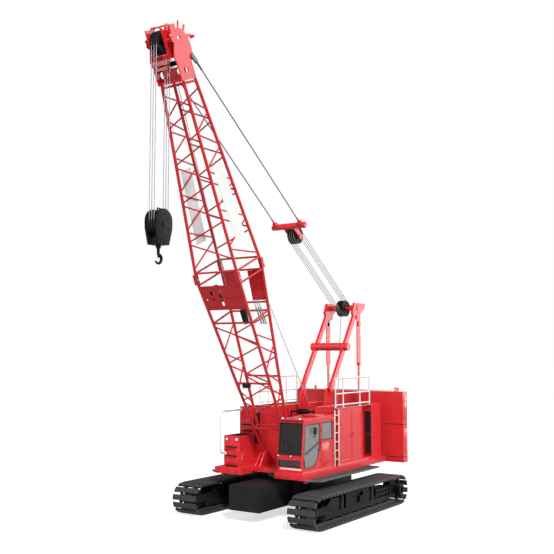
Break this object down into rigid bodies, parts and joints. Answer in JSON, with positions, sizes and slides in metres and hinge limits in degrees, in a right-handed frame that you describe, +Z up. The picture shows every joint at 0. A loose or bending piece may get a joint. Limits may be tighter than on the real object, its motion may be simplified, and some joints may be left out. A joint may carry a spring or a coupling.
{
  "type": "crawler crane",
  "caption": "Crawler crane with a lattice boom, slewing upper with cab and machinery houses, gantry, bridle with pendants, hook block and counterweight.",
  "frame": {"origin": "on the ground, under the middle of the outline's length and width", "axes": "+X forward along the tracks, +Y to the left, +Z up"},
  "size_m": [11.3706, 5.055, 13.7764],
  "materials": {
    "red_paint": "glossy red paint",
    "black_paint": "satin black paint",
    "white_paint": "satin white paint",
    "grey_steel": "grey paint",
    "dark_steel": "satin black paint",
    "black_weight": "black paint",
    "track_steel": "worn cast steel",
    "ring_steel": "greased steel",
    "rope": "wire rope",
    "glass": "tinted",
    "seat": "woven",
    "black_plastic": "matte",
    "lamp": "clear lens"
  },
  "bodies": {
    "lower": {"carbody": "dark_steel", "carbody_weights": "black_weight", "slew_ring": "ring_steel", "track_frames": "dark_steel", "tracks": "track_steel", "track_rollers": "track_steel", "track_end_wheels": "track_steel"},
    "boom": {"boom_butt": "red_paint", "boom_butt_lacing": "red_paint", "boom_top": "red_paint", "boom_top_lacing": "red_paint", "boom_head": "red_paint", "head_sheaves": "black_paint", "boom_winch_frame": "red_paint", "boom_winch_drum": "black_paint", "boom_boards": "white_paint"},
    "boom_hoist": {"boom_hoist_ropes": "rope"},
    "bridle": {"bridle": "red_paint", "bridle_sheaves": "black_paint", "pendants": "rope"},
    "falls": {"hoist_falls": "rope"},
    "hook_block": {"hook_block": "black_paint", "block_sheaves": "black_paint", "hook": "black_paint"},
    "cab_door": {"cab_door": "red_paint", "door_glass": "glass"},
    "house_door_front": {"house_door_front": "red_paint"},
    "house_door_rear": {"house_door_rear": "red_paint"},
    "upper": {"cab_seat": "seat", "cab_shell": "red_paint", "cab_windows": "glass", "counterweight": "red_paint", "decks": "red_paint", "engine": "black_weight", "gantry_frame": "red_paint", "gantry_sheaves": "black_paint", "handrails": "white_paint", "house_grille": "black_plastic", "ladder": "white_paint", "left_house": "red_paint", "revolving_frame": "red_paint", "right_house": "red_paint", "walkways": "grey_steel", "winch_drums": "black_paint", "winch_frame": "red_paint"}
  },
  "joints": [
    {"name": "swing", "type": "hinge", "parent": "lower", "child": "upper", "pos_m": [-1.2853, 0, 1.14], "axis": [0, 0, 1], "continuous": true},
    {"name": "luff", "type": "hinge", "parent": "upper", "child": "boom", "pos_m": [-0.3153, 0, 1.75], "axis": [0, -1, 0], "range_deg": [-35, 14]},
    {"name": "boom_hoist_swing", "type": "hinge", "parent": "upper", "child": "boom_hoist", "pos_m": [-4.5053, 0, 6.5], "axis": [0, -1, 0], "range_deg": [-30.88, 12.65]},
    {"name": "bridle_travel", "type": "slide", "parent": "boom_hoist", "child": "bridle", "axis": [0.8137, 0, 0.5813], "range_m": [-1.4936, 3.7039], "deforming": ["boom_hoist_ropes"]},
    {"name": "falls_swing", "type": "hinge", "parent": "boom", "child": "falls", "pos_m": [5.31892, 0, 13.18593], "axis": [0, -1, 0], "range_deg": [-14.5, 35.5]},
    {"name": "hoist", "type": "slide", "parent": "falls", "child": "hook_block", "axis": [0, 0, 1], "range_m": [-7, 1.5], "deforming": ["hoist_falls"]},
    {"name": "cab_door_hinge", "type": "hinge", "parent": "upper", "child": "cab_door", "pos_m": [-0.4023, 1.508, 1.5], "axis": [0, 0, 1], "range_deg": [0, 100]},
    {"name": "house_door_front_hinge", "type": "hinge", "parent": "upper", "child": "house_door_front", "pos_m": [-1.4833, 1.508, 1.5], "axis": [0, 0, -1], "range_deg": [0, 95]},
    {"name": "house_door_rear_hinge", "type": "hinge", "parent": "upper", "child": "house_door_rear", "pos_m": [-3.0223, 1.508, 1.5], "axis": [0, 0, 1], "range_deg": [0, 95]}
  ],
  "couplings": [
    {"joint": "boom_hoist_swing", "follows": "luff", "ratio": 0.8679},
    {"joint": "bridle_travel", "follows": "luff", "m_per_rad": -6.0307},
    {"joint": "falls_swing", "follows": "luff", "ratio": -1}
  ]
}
